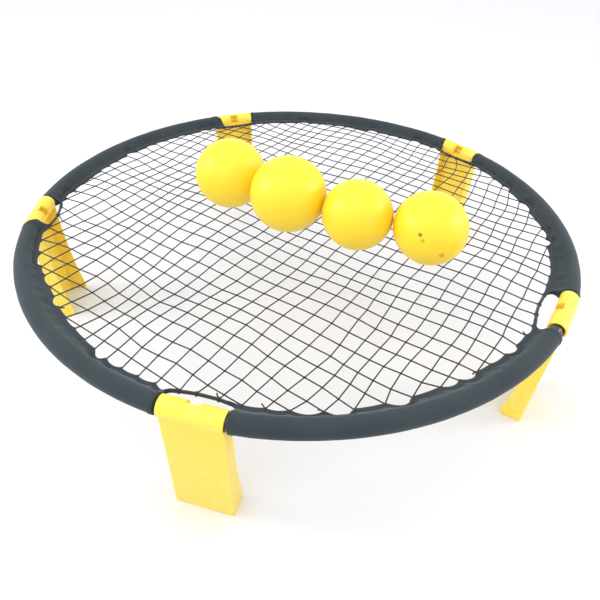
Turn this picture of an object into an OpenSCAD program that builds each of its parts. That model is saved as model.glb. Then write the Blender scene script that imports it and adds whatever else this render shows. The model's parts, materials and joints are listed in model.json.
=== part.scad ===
// Roundnet set: a round net on a tube ring with five moulded legs, and four balls.
// The origin is on the floor under the middle of the ring, with +Z up.
// Leg 1 stands at +Y, and the others follow anticlockwise.

/* [Ring] */
// Radius of the ring, from its axis to the middle of the tube
ring_r = 436; // [380:1:500]
// Height of the middle of the tube above the floor
rim_height = 187.5; // [140:0.5:240]
// Outer diameter of the rim tube
tube_d = 19; // [17:0.5:22]
// Wall of the rim tube
tube_wall = 1.5; // [1:0.1:2.5]

/* [Legs] */
// Width of a leg along the rim
leg_width = 80; // [72:1:110]
// Wall of the leg's plate, side walls and socket
leg_wall = 2.6; // [2:0.1:3.5]
// How far the leg leans in towards the middle of the ring, in degrees
leg_lean = 5; // [2:0.5:8]
// How far the plate's outer face stands outside the socket's axis
plate_offset = 9.5; // [7:0.5:11]
// Depth of a side wall at the foot, from the plate's outer face
foot_depth = 32; // [26:1:40]
// Where a side wall's inner edge leaves the socket, in degrees below level
side_start = 25; // [15:1:40]
// How far the inner edge of a side wall curves in between socket and foot
side_waist = 5; // [2:0.5:8]
// Radius on the plate's upright outer corners
corner_radius = 2.5; // [1:0.5:4]
// Radius of the fillet where the outside of the socket runs into the plate
crease_fillet = 5; // [2:0.5:8]
// Bevel on the foot's inner corner
foot_bevel = 4; // [1:0.5:6]
// Width of the solid stop in the middle of the socket
stop_width = 26; // [22:1:34]
// Width of the finger groove at its floor
groove_floor = 10; // [8:1:14]
// Width of the finger groove at the socket's outside
groove_mouth = 17; // [16:1:24]
// Radius of the groove's floor about the socket's axis
groove_radius = 5.5; // [5:0.5:9]

/* [Cover] */
// Thickness of the padded fabric
fabric_wall = 2.8; // [1.5:0.1:3.5]
// How far the flat hem and the net lie below the middle of the tube
hem_drop = 4; // [2:0.5:6]
// Thickness of the hem
hem_thickness = 3; // [2:0.5:4]
// Width of the hem, from the round part to the tips of its scallops
hem_width = 14.4; // [13:0.1:20]
// How far the padding runs out over the hem, from the round part
padding_runout = 5; // [2:0.5:7]
// Depth of a scallop in the hem
scallop_depth = 5; // [2:0.5:7]
// Scallops in one cover panel
scallops = 15; // [8:1:20]
// Free gap along the rim between a leg and the cover
cover_gap = 2.5; // [2:0.5:12]

/* [Net] */
// Thickness of a net string
string_d = 2; // [1.5:0.1:3]
// Distance between two strings
net_pitch = 45.7; // [44:0.1:60]
// Direction of the first family of strings, in degrees from +X
net_angle = 35.6; // [0:0.1:90]
// Diameter of the border cord
border_cord_d = 4.4; // [3:0.1:6]

/* [Balls] */
// Diameter of each ball
ball_d = [119, 124, 111, 112.5];
// Place of each ball on the net, as X and Y
ball_xy = [[-97.7, 78], [-28.9, -23.6], [55.3, -106.2], [143.6, -175.8]];
// Direction of each ball's valve, as the angle from +X and the angle above level
valve_angles = [[75, -20], [30, 40], [120, -35], [-140, 18]];
// Rubber wall of a ball
ball_wall = 1.6; // [1.2:0.1:3]
// Diameter of the valve's stem
valve_d = 6; // [4:0.5:8]
// Diameter of the valve's flange inside the ball
valve_flange_d = 14; // [11:0.5:18]

/* [Fits] */
// Least gap between the rim tube and the leg's socket
socket_clearance = 0.1; // [0.05:0.01:0.3]
// Gap between the end of a tube and the leg's stop
tube_end_gap = 0.5; // [0.3:0.1:1.5]
// Gap between the tube and the fabric around it
fabric_clearance = 0.4; // [0.2:0.1:1]
// How far a string is bound into the border cord
string_bind = 0.6; // [0.3:0.1:1]
// Gap between a ball at rest and the net
ball_clearance = 0.3; // [0.2:0.1:1]
// Gap around a valve's stem
valve_clearance = 0.05; // [0.02:0.01:0.2]

/* [Hidden] */
$fn = 96;
leg_count = 5;
ball_count = 4;
leg_step = 360 / leg_count;
first_leg = 90;

tube_r = tube_d / 2;
// The tube is bent and the socket is straight, so the socket's axis is set in by the middle
// of the tube's bow, and its bore is larger by half of the bow.
bow_at_stop = bow(stop_width / 2);
bow_at_end = bow(leg_width / 2);
socket_inset = (bow_at_stop + bow_at_end) / 2;
socket_r = tube_r + (bow_at_end - bow_at_stop) / 2 + socket_clearance;
barrel_r = socket_r + leg_wall;
barrel_bevel = 0.8;

side_inner = foot_depth - plate_offset;
leg_length = (rim_height + side_inner * sin(leg_lean)) / cos(leg_lean);
groove_from = 60;
groove_to = 165;

cover_r = tube_r + fabric_clearance + fabric_wall;
hem_z = rim_height - hem_drop;
hem_inner_r = ring_r - cover_r - hem_width;
cover_from = rim_angle(leg_width / 2 + cover_gap);
cover_span = leg_step - 2 * cover_from;
scallop_step = cover_span / scallops;
scallop_half = hem_inner_r * sin(scallop_step / 2);
scallop_r = (pow(scallop_half, 2) + pow(scallop_depth, 2)) / (2 * scallop_depth);

cord_r = border_cord_d / 2;
cord_ring_r = hem_inner_r + scallop_depth - cord_r;
net_r = cord_ring_r - cord_r + string_bind;
string_rows = ceil(net_r / net_pitch);

slack = 1;

// How far the tube has bent away from its tangent at a distance along it
function bow(along) = ring_r - sqrt(pow(ring_r, 2) - pow(along, 2));

// Angle at the ring's axis for a distance along the rim
function rim_angle(along) = asin(along / ring_r);

function leg_angle(k) = first_leg + (k - 1) * leg_step;

// Puts a leg in its place: X along the rim, Y outwards, Z up, zero on the socket's axis
module at_leg(k) {
    rotate([0, 0, leg_angle(k) - 90])
        translate([0, ring_r - socket_inset, rim_height])
            children();
}

// Stands a side outline up: its X points inwards and its Y up, and it is as wide as a leg
module across_leg(width) {
    rotate([90, 0, -90])
        linear_extrude(height = width, center = true)
            children();
}

// One fifth of the rim, a bent tube that ends against the stops of two legs
module rim_tube(k) {
    from = rim_angle(stop_width / 2 + tube_end_gap);
    color("#15171a")
        rotate([0, 0, leg_angle(k) + from])
            rotate_extrude(angle = leg_step - 2 * from, $fn = 360)
                translate([ring_r, rim_height])
                    difference() {
                        circle(d = tube_d);
                        circle(d = tube_d - 2 * tube_wall);
                    }
}

// Side of the leg below the socket, with a hollowed inner edge
module leg_side_outline() {
    top_x = barrel_r * cos(side_start);
    top_y = -barrel_r * sin(side_start);
    chord = norm([side_inner - top_x, leg_length + top_y]);
    edge_r = (pow(chord / 2, 2) + pow(side_waist, 2)) / (2 * side_waist);
    edge_tilt = atan((side_inner - top_x) / (leg_length + top_y));
    difference() {
        polygon([[-plate_offset, 0], [barrel_r, 0],
                 [side_inner, -leg_length + foot_bevel],
                 [side_inner - foot_bevel, -leg_length],
                 [-plate_offset, -leg_length]]);
        translate([(top_x + side_inner) / 2, (top_y - leg_length) / 2])
            rotate([0, 0, edge_tilt])
                translate([edge_r - side_waist, 0])
                    circle(r = edge_r, $fn = 720);
    }
}

// Fillet in the corner under the outside of the socket
module leg_crease_fillet() {
    mid_x = -plate_offset - crease_fillet;
    mid_y = -sqrt(pow(barrel_r + crease_fillet, 2) - pow(mid_x, 2));
    touch = barrel_r / (barrel_r + crease_fillet);
    difference() {
        polygon([[mid_x, mid_y], [mid_x * touch, mid_y * touch],
                 [-plate_offset + slack, mid_y * touch], [-plate_offset + slack, mid_y]]);
        translate([mid_x, mid_y])
            circle(r = crease_fillet);
    }
}

// Plan of the leg: a plate with two side walls, open towards the middle of the ring
module leg_channel_plan(depth) {
    half = leg_width / 2;
    difference() {
        union() {
            translate([-half + corner_radius, -depth])
                square([leg_width - 2 * corner_radius, depth]);
            translate([-half, -depth])
                square([leg_width, depth - corner_radius]);
            for (side = [-1, 1])
                translate([side * (half - corner_radius), -corner_radius])
                    circle(r = corner_radius);
        }
        translate([-half + leg_wall, -depth - slack])
            square([leg_width - 2 * leg_wall, depth + slack - leg_wall]);
    }
}

// Round barrel of the leg, with its ends bevelled
module leg_barrel() {
    half = leg_width / 2;
    rotate([0, 90, 0])
        rotate_extrude()
            polygon([[0, -half], [barrel_r - barrel_bevel, -half], [barrel_r, -half + barrel_bevel],
                     [barrel_r, half - barrel_bevel], [barrel_r - barrel_bevel, half], [0, half]]);
}

// The two sockets that take the ends of the tubes, one on each side of the stop
module leg_sockets() {
    depth = (leg_width - stop_width) / 2;
    for (side = [-1, 1])
        translate([side * (stop_width + depth + slack) / 2, 0, 0])
            rotate([0, 90, 0])
                cylinder(r = socket_r, h = depth + slack, center = true);
}

// Finger groove over the inner side of the barrel, with sloping sides
module leg_groove() {
    slope = (groove_mouth - groove_floor) / 2 / (barrel_r - groove_radius);
    outer_half = groove_mouth / 2 + slope * slack;
    rotate([0, 90, 0])
        rotate([0, 0, -groove_to])
            rotate_extrude(angle = groove_to - groove_from)
                polygon([[groove_radius, -groove_floor / 2], [barrel_r + slack, -outer_half],
                         [barrel_r + slack, outer_half], [groove_radius, groove_floor / 2]]);
}

// One moulded leg: socket barrel, plate and two side walls that stand on the floor
module leg(k) {
    plan_depth = foot_depth + slack;
    color("#f6e648")
        at_leg(k)
            rotate([-leg_lean, 0, 0])
                difference() {
                    union() {
                        intersection() {
                            translate([0, plate_offset, -leg_length - slack])
                                linear_extrude(height = leg_length + slack)
                                    leg_channel_plan(plan_depth);
                            across_leg(leg_width)
                                leg_side_outline();
                        }
                        across_leg(leg_width - 2 * corner_radius)
                            leg_crease_fillet();
                        leg_barrel();
                    }
                    leg_sockets();
                    leg_groove();
                    rotate([leg_lean, 0, 0])
                        translate([-leg_width, -leg_length, -rim_height - leg_length])
                            cube([2 * leg_width, 2 * leg_length, leg_length]);
                }
}

// Padding that runs out from the round part over the hem, above and below it
module cover_runout() {
    reach = cover_r + padding_runout;
    top = hem_thickness / 2 - hem_drop;
    bottom = -hem_thickness / 2 - hem_drop;
    top_touch = atan2(top, -reach) - acos(cover_r / norm([reach, top]));
    bottom_touch = atan2(bottom, -reach) + acos(cover_r / norm([reach, bottom]));
    translate([ring_r, rim_height])
        polygon([[0, 0],
                 [cover_r * cos(top_touch), cover_r * sin(top_touch)],
                 [-reach, top], [-reach, bottom],
                 [cover_r * cos(bottom_touch), cover_r * sin(bottom_touch)]]);
}

// One panel of the padded fabric cover: a tunnel for the tube and a flat scalloped hem
module cover_panel(k) {
    color("#46505a")
        rotate([0, 0, leg_angle(k) + cover_from])
            difference() {
                rotate_extrude(angle = cover_span, $fn = 360)
                    difference() {
                        union() {
                            translate([ring_r, rim_height])
                                circle(r = cover_r);
                            translate([hem_inner_r, hem_z - hem_thickness / 2])
                                square([ring_r - hem_inner_r, hem_thickness]);
                            cover_runout();
                        }
                        translate([ring_r, rim_height])
                            circle(r = tube_r + fabric_clearance);
                    }
                for (i = [0 : scallops - 1])
                    rotate([0, 0, (i + 0.5) * scallop_step])
                        translate([hem_inner_r + scallop_depth - scallop_r, 0, hem_z])
                            cylinder(r = scallop_r, h = hem_thickness + slack, center = true);
            }
}

// Cord that binds the hem and bridges the openings at the legs
module border_cord() {
    color("#1c1d1f")
        rotate_extrude($fn = 360)
            translate([cord_ring_r, hem_z])
                circle(d = border_cord_d, $fn = 32);
}

// Flat square-mesh net, with its strings bound into the border cord
module net() {
    color("#1c1d1f")
        translate([0, 0, hem_z - string_d / 2])
            linear_extrude(height = string_d)
                intersection() {
                    circle(r = net_r, $fn = 360);
                    rotate([0, 0, net_angle])
                        for (turn = [0, 90])
                            rotate([0, 0, turn])
                                for (i = [-string_rows : string_rows - 1])
                                    translate([0, (i + 0.5) * net_pitch])
                                        square([2 * net_r, string_d], center = true);
                }
}

// Puts a ball's parts in place, with Z along its valve
module at_ball(k) {
    spot = ball_xy[k - 1];
    lift = hem_z + string_d / 2 + ball_clearance + ball_d[k - 1] / 2;
    translate([spot[0], spot[1], lift])
        rotate([0, 90 - valve_angles[k - 1][1], valve_angles[k - 1][0]])
            children();
}

// Hollow rubber ball with a hole for its valve
module ball(k) {
    outer = ball_d[k - 1] / 2;
    color("#fbe83a")
        at_ball(k)
            difference() {
                sphere(r = outer);
                sphere(r = outer - ball_wall);
                translate([0, 0, outer - 2 * ball_wall])
                    cylinder(d = valve_d + 2 * valve_clearance, h = 3 * ball_wall);
            }
}

// Rubber valve plug: a stem flush with the ball, on a flange that seats inside it
module ball_valve(k) {
    outer = ball_d[k - 1] / 2;
    inner = outer - ball_wall;
    flange = 1.5 * ball_wall;
    color("#d9a21c")
        at_ball(k)
            difference() {
                union() {
                    intersection() {
                        sphere(r = outer);
                        translate([0, 0, inner - 2 * flange])
                            cylinder(d = valve_d, h = outer);
                    }
                    intersection() {
                        sphere(r = inner);
                        translate([0, 0, inner - flange])
                            cylinder(d = valve_flange_d, h = outer);
                    }
                }
                translate([0, 0, outer + valve_d / 8])
                    sphere(d = valve_d / 2, $fn = 48);
            }
}

rim_tube(1);  // rim_tube_1
rim_tube(2);  // rim_tube_2
rim_tube(3);  // rim_tube_3
rim_tube(4);  // rim_tube_4
rim_tube(5);  // rim_tube_5
leg(1);  // leg_1
leg(2);  // leg_2
leg(3);  // leg_3
leg(4);  // leg_4
leg(5);  // leg_5
cover_panel(1);  // cover_panel_1
cover_panel(2);  // cover_panel_2
cover_panel(3);  // cover_panel_3
cover_panel(4);  // cover_panel_4
cover_panel(5);  // cover_panel_5
net();
border_cord();
ball(1);  // ball_1
ball(2);  // ball_2
ball(3);  // ball_3
ball(4);  // ball_4
ball_valve(1);  // ball_valve_1
ball_valve(2);  // ball_valve_2
ball_valve(3);  // ball_valve_3
ball_valve(4);  // ball_valve_4
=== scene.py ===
"""Roundnet set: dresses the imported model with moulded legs, a padded cover, a knotted net, balls and a studio."""

import json
import math
from functools import cache

import bmesh
import bpy
import numpy as np
from bpy.props import FloatProperty, FloatVectorProperty, IntProperty, PointerProperty
from mathutils import Matrix, Vector, noise


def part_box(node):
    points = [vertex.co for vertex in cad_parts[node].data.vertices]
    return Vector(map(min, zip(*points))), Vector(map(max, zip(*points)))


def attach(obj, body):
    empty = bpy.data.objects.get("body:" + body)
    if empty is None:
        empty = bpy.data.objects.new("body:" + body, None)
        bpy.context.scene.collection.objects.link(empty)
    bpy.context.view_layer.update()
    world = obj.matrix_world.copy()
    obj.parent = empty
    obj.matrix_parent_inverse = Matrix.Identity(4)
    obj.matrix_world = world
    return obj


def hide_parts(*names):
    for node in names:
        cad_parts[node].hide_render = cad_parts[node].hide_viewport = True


bl_info = {
    "name": "Roundnet Set",
    "version": (1, 0, 0),
    "blender": (4, 5, 0),
    "location": "View3D > Sidebar > Roundnet",
    "description": "Moulded legs, padded cover, knotted net, border cord, balls and a plain studio for a roundnet set",
    "category": "Object",
}

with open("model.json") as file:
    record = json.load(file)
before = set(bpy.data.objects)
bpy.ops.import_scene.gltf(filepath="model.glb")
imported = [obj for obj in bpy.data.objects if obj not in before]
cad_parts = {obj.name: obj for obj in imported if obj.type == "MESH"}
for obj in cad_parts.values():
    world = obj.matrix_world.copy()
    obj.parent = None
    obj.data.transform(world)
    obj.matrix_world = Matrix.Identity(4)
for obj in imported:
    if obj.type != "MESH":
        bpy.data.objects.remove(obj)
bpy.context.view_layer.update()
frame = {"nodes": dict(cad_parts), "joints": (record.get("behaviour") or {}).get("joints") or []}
JOINTS = {joint["name"]: joint for joint in frame["joints"]}
MM = 0.001


# ---------------------------------------------------------------- measures taken from the frame


def points_of(mesh):
    """The places of a mesh's vertices, as an array."""
    flat = np.empty(len(mesh.vertices) * 3)
    mesh.vertices.foreach_get("co", flat)
    return flat.reshape(-1, 3)


def node_points(node):
    return points_of(frame["nodes"][node].data)


def box_size(node):
    """Centre and half size of a CAD node's box."""
    low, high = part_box(node)
    return (low + high) / 2, (high - low) / 2


def far_from_axis(node):
    """Greatest distance of a CAD node's points from the Z axis."""
    return float(np.hypot(*node_points(node)[:, :2].T).max())


LEGS = range(1, 6)
LEG_POS = [Vector(JOINTS[f"leg_{k}_swing"]["pos_m"]) for k in LEGS]
LEG_ANGLE = [math.atan2(p.y, p.x) for p in LEG_POS]
RIM_Z = LEG_POS[0].z
TUBE_R = box_size("rim_tube_1")[1].z
RING_R = far_from_axis("rim_tube_1") - TUBE_R
COVER_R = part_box("cover_panel_1")[1].z - RIM_Z
CORD_R = box_size("border_cord")[1].z
HEM_Z = box_size("border_cord")[0].z
CORD_RING_R = far_from_axis("border_cord") - CORD_R
STRING_R = box_size("net")[1].z
BALLS = [(centre, half.z) for centre, half in (box_size(f"ball_{k}") for k in range(1, 5))]


def turn_between(angle, middle):
    """Angle from middle, folded into half a turn either way."""
    return (angle - middle + math.pi) % (2 * math.pi) - math.pi


def panel_range(k):
    """Start and end angle of cover panel k, taken from its CAD node."""
    points = node_points(f"cover_panel_{k}")
    middle = LEG_ANGLE[k - 1] + math.pi / len(LEGS)
    turns = turn_between(np.arctan2(points[:, 1], points[:, 0]), middle)
    return middle + float(turns.min()), middle + float(turns.max())


PANELS = [panel_range(k) for k in LEGS]


# ---------------------------------------------------------------- settings that a user would change


def length_of(name, description, default):
    return FloatProperty(name=name, description=description, default=default, unit="LENGTH")


def power_of(name, description, default):
    return FloatProperty(name=name, description=description, default=default, unit="POWER")


def colour_of(name, description, default):
    return FloatVectorProperty(name=name, description=description, default=default, size=3, subtype="COLOR")


class RoundnetNetSettings(bpy.types.PropertyGroup):
    """Sizes and colours of the net and of the cord that it is tied to."""

    mesh_size: length_of("Mesh size", "Side of one square of the net", 0.0254)
    string_angle: FloatProperty(
        name="String angle", description="Direction of the first family of strings",
        default=math.radians(35.6), subtype="ANGLE")
    string_radius: length_of("String radius", "Half the thickness of a string", STRING_R * 0.95)
    knot_radius: length_of("Knot radius", "Half the width of a knot", 0.0017)
    pair_gap: length_of("Pairing gap", "Strings that reach the hem closer than this share a tie", 0.0185)
    unevenness: FloatProperty(
        name="Unevenness", description="How unevenly the meshes are stretched", default=0.62, subtype="FACTOR")
    scallop_depth: length_of("Scallop depth", "Deepest bow of the hem between two ties", 0.0052)
    opening_bow: length_of(
        "Bow at a leg", "How far the cord is pulled inwards where it bridges a leg's opening", 0.0034)
    seed: IntProperty(name="Seed", description="Seed for the uneven stretch of the net", default=7)
    string_colour: colour_of("String colour", "Colour of the net strings", (0.012, 0.012, 0.014))
    cord_colour: colour_of("Cord colour", "Colour of the border cord", (0.011, 0.012, 0.013))


class RoundnetCoverSettings(bpy.types.PropertyGroup):
    """Sizes and colours of the padded cover and its stitching."""

    station_step: length_of("Step along the rim", "Distance between two cross sections of a panel", 0.0018)
    puckers: length_of("Puckers", "Height of the folds between the ties", 0.0006)
    casing: length_of("Casing", "Distance from the middle of the cord to the seam beside it", 0.0044)
    corner: length_of("Corner", "How far the hem runs on along the cord at a panel's end", 0.011)
    cuff: length_of("Cuff", "Width of the turned cuff at a panel's end", 0.008)
    lap: length_of(
        "Lap", "How far the fabric laps over a leg's socket where it lies askew", 0.012)
    slid_back: length_of("Slid back", "How far one panel has slid away from its leg", 0.0115)
    stitch_step: length_of("Stitch step", "Distance from one stitch to the next", 0.0046)
    fabric_colour: colour_of("Fabric colour", "Colour of the cover", (0.0298, 0.0406, 0.0475))
    thread_colour: colour_of("Thread colour", "Colour of the stitches", (0.020, 0.024, 0.029))


class RoundnetLegSettings(bpy.types.PropertyGroup):
    """Edges and colour of the moulded legs."""

    edge_radius: length_of("Edge radius", "Rounding of the outer edges", 0.0006)
    fillet_radius: length_of("Fillet radius", "Rounding of the inner corners", 0.0016)
    plastic_colour: colour_of("Plastic colour", "Colour of the legs", (0.93, 0.655, 0.039))


class RoundnetBallSettings(bpy.types.PropertyGroup):
    """Details and colour of the balls."""

    valve_hole: length_of("Valve hole radius", "Radius of the hole round the valve", 0.00305)
    valve_ring: length_of("Valve ring height", "Height of the raised ring round the valve", 0.00025)
    wall: length_of("Wall", "Thickness of the rubber", 0.0016)
    rubber_colour: colour_of("Rubber colour", "Colour of the balls", (0.97, 0.68, 0.023))


class RoundnetStageSettings(bpy.types.PropertyGroup):
    """Floor, light and camera."""

    floor_size: length_of("Floor size", "Half the side of the floor", 9.0)
    world_light: FloatProperty(
        name="World light", description="Strength of the even light from all round", default=1.22)
    key_power: power_of("Key light", "Power of the large soft light above", 11.0)
    side_power: power_of("Side lights", "Power of each soft light at the sides", 9.0)
    floor_colour: colour_of("Floor colour", "Colour of the floor", (0.769, 0.776, 0.803))


SETTINGS = {
    "roundnet_net": RoundnetNetSettings,
    "roundnet_cover": RoundnetCoverSettings,
    "roundnet_leg": RoundnetLegSettings,
    "roundnet_ball": RoundnetBallSettings,
    "roundnet_stage": RoundnetStageSettings,
}


# ---------------------------------------------------------------- small helpers for meshes


def put(name, mesh):
    """Makes an object of a mesh and shows it."""
    obj = bpy.data.objects.new(name, mesh)
    bpy.context.collection.objects.link(obj)
    return obj


def mesh_of(name, points, faces=(), edges=()):
    mesh = bpy.data.meshes.new(name)
    mesh.from_pydata([tuple(p) for p in points], [tuple(e) for e in edges], [tuple(f) for f in faces])
    mesh.update()
    return mesh


def ring_faces(rows, around, base=0, closed=False, flip=False):
    """Four-sided faces between rows of points, each row a ring. Closed also joins the last row to the first."""
    faces = []
    for row in range(rows if closed else rows - 1):
        a, b = base + row * around, base + (row + 1) % rows * around
        for n in range(around):
            m = (n + 1) % around
            faces.append((a + n, b + n, b + m, a + m) if flip else (a + n, a + m, b + m, b + n))
    return faces


def chained(lines):
    """Points of several lines in one list, and the edges that join each line's own points."""
    points, edges = [], []
    for line in lines:
        edges += [(len(points) + n, len(points) + n + 1) for n in range(len(line) - 1)]
        points += line
    return points, edges


def circle(count):
    """Cosine and sine of equal steps round a circle."""
    return [(math.cos(2 * math.pi * n / count), math.sin(2 * math.pi * n / count)) for n in range(count)]


def face_outwards(mesh):
    """Turns all faces of a closed mesh outwards."""
    bm = bmesh.new()
    bm.from_mesh(mesh)
    bmesh.ops.recalc_face_normals(bm, faces=bm.faces)
    bm.to_mesh(mesh)
    bm.free()


def smooth(mesh, sharp=None):
    """Shades a mesh smooth, apart from edges sharper than an angle in degrees."""
    mesh.polygons.foreach_set("use_smooth", [True] * len(mesh.polygons))
    if sharp is not None:
        mesh.set_sharp_from_angle(angle=math.radians(sharp))
    mesh.update()


def set_uv(mesh, per_vertex):
    """Writes a UV map from one pair for each vertex."""
    layer = mesh.uv_layers.new(name="UVMap")
    loops = np.empty(len(mesh.loops), dtype=np.int32)
    mesh.loops.foreach_get("vertex_index", loops)
    layer.data.foreach_set("uv", np.asarray(per_vertex, dtype=np.float32)[loops].ravel())


def mark(mesh, name, values):
    """Writes one number for each vertex, which a material or a tree reads by its name."""
    mesh.attributes.new(name, "FLOAT", "POINT").data.foreach_set("value", np.asarray(values, dtype=np.float32))


def plain_mesh(obj):
    """Turns what the modifiers make into the object's own plain mesh, and removes them."""
    graph = bpy.context.evaluated_depsgraph_get()
    made = bpy.data.meshes.new_from_object(obj.evaluated_get(graph))
    made.name = obj.name
    obj.modifiers.clear()
    obj.data = made
    return obj


def dress(obj, material):
    obj.data.materials.clear()
    obj.data.materials.append(material)
    return obj


# ---------------------------------------------------------------- node trees


class Nodes:
    """Adds nodes to a node tree and links them."""

    def __init__(self, tree):
        self.tree = tree

    def set(self, socket, value):
        """Links an output to an input, or sets any other value on it."""
        if isinstance(value, bpy.types.NodeSocket):
            self.tree.links.new(value, socket)
        else:
            socket.default_value = value

    def add(self, kind, settings=None, **values):
        """Adds a node. Settings are the node's own choices, and values go to its inputs by name."""
        node = self.tree.nodes.new(kind)
        for key, value in (settings or {}).items():
            setattr(node, key, value)
        for key, value in values.items():
            self.set(node.inputs[key.replace("_", " ")], value)
        return node

    def maths(self, operation, first, second=0.0):
        node = self.add("ShaderNodeMath", {"operation": operation})
        self.set(node.inputs[0], first)
        self.set(node.inputs[1], second)
        return node.outputs[0]


def new_group(kind, name, inputs, outputs):
    """A node group with named inputs and outputs."""
    group = bpy.data.node_groups.new(name, kind)
    for label, socket_type, value in inputs:
        socket = group.interface.new_socket(label, in_out="INPUT", socket_type=socket_type)
        if value is not None:
            socket.default_value = value
    for label, socket_type in outputs:
        group.interface.new_socket(label, in_out="OUTPUT", socket_type=socket_type)
    return group


# ---------------------------------------------------------------- Geometry Nodes trees


class Tree(Nodes):
    """A Geometry Nodes tree with named inputs, built step by step."""

    def __init__(self, name, inputs):
        geometry = ("Geometry", "NodeSocketGeometry")
        super().__init__(new_group("GeometryNodeTree", name, [geometry + (None,)] + inputs, [geometry]))
        self.given = self.add("NodeGroupInput").outputs

    def finish(self, geometry, material):
        """Ends the tree in real geometry that has its material."""
        realized = self.add("GeometryNodeRealizeInstances", Geometry=geometry)
        painted = self.add("GeometryNodeSetMaterial", Geometry=realized.outputs[0], Material=material)
        self.set(self.add("NodeGroupOutput").inputs[0], painted.outputs[0])
        return self

    def grow(self, obj, **values):
        """Runs the tree on an object and keeps the result as a plain mesh."""
        step = obj.modifiers.new(self.tree.name, "NODES")
        step.node_group = self.tree
        for item in self.tree.interface.items_tree:
            key = item.name.replace(" ", "_")
            if item.in_out == "INPUT" and key in values:
                step[item.identifier] = values[key]
        return plain_mesh(obj)


def string_tree(material):
    """Lays a round string of a few sides along each chain of edges."""
    tree = Tree("lay_strings", [("Radius", "NodeSocketFloat", 0.001), ("Sides", "NodeSocketInt", 6)])
    path = tree.add("GeometryNodeMeshToCurve", Mesh=tree.given["Geometry"])
    profile = tree.add(
        "GeometryNodeCurvePrimitiveCircle", Resolution=tree.given["Sides"], Radius=tree.given["Radius"])
    laid = tree.add(
        "GeometryNodeCurveToMesh", Curve=path.outputs[0], Profile_Curve=profile.outputs[0], Fill_Caps=True)
    return tree.finish(laid.outputs[0], material)


def scatter_tree(name, material):
    """Sets a small shape on each point, turned by the point's own angle."""
    tree = Tree(name, [
        ("Shape", "NodeSocketObject", None),
        ("Least size", "NodeSocketFloat", 0.92),
        ("Most size", "NodeSocketFloat", 1.12),
        ("Loose turn", "NodeSocketFloat", 0.15),
        ("Seed", "NodeSocketInt", 3),
    ])
    given = tree.given

    def between(low, high):
        node = tree.add("FunctionNodeRandomValue", {"data_type": "FLOAT"}, Seed=given["Seed"])
        tree.set(node.inputs[2], low)
        tree.set(node.inputs[3], high)
        return node.outputs[1]

    loose = between(tree.maths("MULTIPLY", given["Loose turn"], -1.0), given["Loose turn"])
    turn = tree.add("GeometryNodeInputNamedAttribute", {"data_type": "FLOAT"}, Name="turn")
    turned = tree.add("ShaderNodeCombineXYZ", Z=tree.maths("ADD", turn.outputs["Attribute"], loose))
    shape = tree.add("GeometryNodeObjectInfo", Object=given["Shape"])
    points = tree.add("GeometryNodeMeshToPoints", Mesh=given["Geometry"])
    placed = tree.add(
        "GeometryNodeInstanceOnPoints", Points=points.outputs[0], Instance=shape.outputs["Geometry"],
        Rotation=turned.outputs[0], Scale=between(given["Least size"], given["Most size"]))
    return tree.finish(placed.outputs[0], material)


def stitch_tree(material):
    """Runs stitches along each chain of edges, each one lying along the seam."""
    tree = Tree("run_stitches", [("Shape", "NodeSocketObject", None), ("Step", "NodeSocketFloat", 0.0045)])
    seam = tree.add("GeometryNodeMeshToCurve", Mesh=tree.given["Geometry"])
    points = tree.add(
        "GeometryNodeCurveToPoints", {"mode": "LENGTH"}, Curve=seam.outputs[0], Length=tree.given["Step"])
    along = tree.add("FunctionNodeAlignRotationToVector", {"axis": "X"}, Vector=points.outputs["Tangent"])
    shape = tree.add("GeometryNodeObjectInfo", Object=tree.given["Shape"])
    placed = tree.add(
        "GeometryNodeInstanceOnPoints", Points=points.outputs[0], Instance=shape.outputs["Geometry"],
        Rotation=along.outputs[0])
    return tree.finish(placed.outputs[0], material)


# ---------------------------------------------------------------- shader node groups


class Shader(Nodes):
    """Adds shading nodes to a material or a shader group."""

    def scaled(self, value, factor, plus=0.0):
        """A value times a factor, and a sum added where one is given."""
        result = self.maths("MULTIPLY", value, factor)
        return self.maths("ADD", result, plus) if plus else result

    def blend(self, factor, first, second):
        """Mixes two colours."""
        node = self.add("ShaderNodeMix", {"data_type": "RGBA"})
        for number, value in ((0, factor), (6, first), (7, second)):
            self.set(node.inputs[number], value)
        return node.outputs[2]

    def ramp(self, value, low, high, to_low=0.0, to_high=1.0):
        """A smooth step of a value between two limits."""
        return self.add(
            "ShaderNodeMapRange", {"interpolation_type": "SMOOTHSTEP"}, Value=value,
            From_Min=low, From_Max=high, To_Min=to_low, To_Max=to_high).outputs[0]

    def noise(self, vector, scale, detail=3.0, rough=0.5):
        return self.add(
            "ShaderNodeTexNoise", Vector=vector, Scale=scale, Detail=detail, Roughness=rough).outputs[0]

    def effect(self, maker, **values):
        """Places a shared shader group and gives its outputs."""
        return self.add("ShaderNodeGroup", {"node_tree": maker()}, **values).outputs


def shader_group(name, inputs, outputs):
    """A shared effect: a shader node group that reads a vector, with its input and output sockets."""
    sockets = [("Vector", "NodeSocketVector", None)] + inputs
    shader = Shader(new_group("ShaderNodeTree", name, sockets, outputs))
    return shader, shader.add("NodeGroupInput").outputs, shader.add("NodeGroupOutput").inputs


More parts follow.
